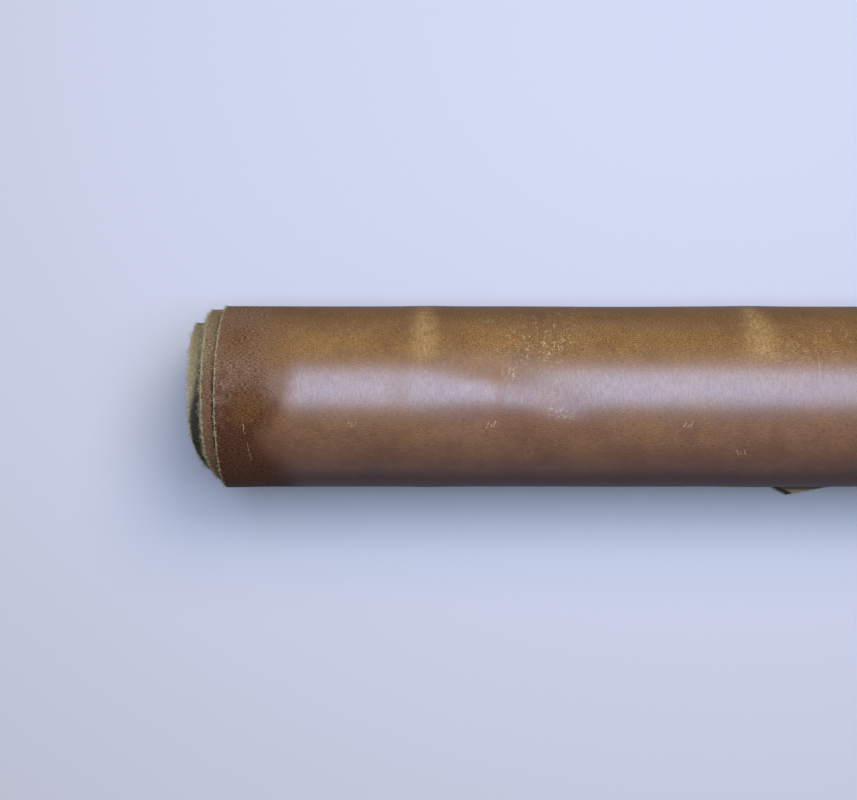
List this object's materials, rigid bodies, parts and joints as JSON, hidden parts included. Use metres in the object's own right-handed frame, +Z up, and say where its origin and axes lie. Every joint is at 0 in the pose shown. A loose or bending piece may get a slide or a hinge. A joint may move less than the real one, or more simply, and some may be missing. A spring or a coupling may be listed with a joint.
{
  "type": "rolled leather hide",
  "caption": "Side of thick brown pull-up leather, rolled up grain side out around a hollow core, with uneven cut edges and a loose end lying under the roll.",
  "frame": {"origin": "on the roll's flat spot, at half its length, where it rests on the ground", "axes": "+X along the roll, towards its right end in the picture; +Y to the back, away from the loose end; +Z up"},
  "size_m": [0.9355, 0.1294, 0.1197],
  "materials": {
    "leather": "waxed pull-up grain, golden olive brown with a soft sheen and paler bands, matte pale khaki flesh side and cut edges"
  },
  "bodies": {
    "root": {"hide": "leather"}
  },
  "joints": []
}
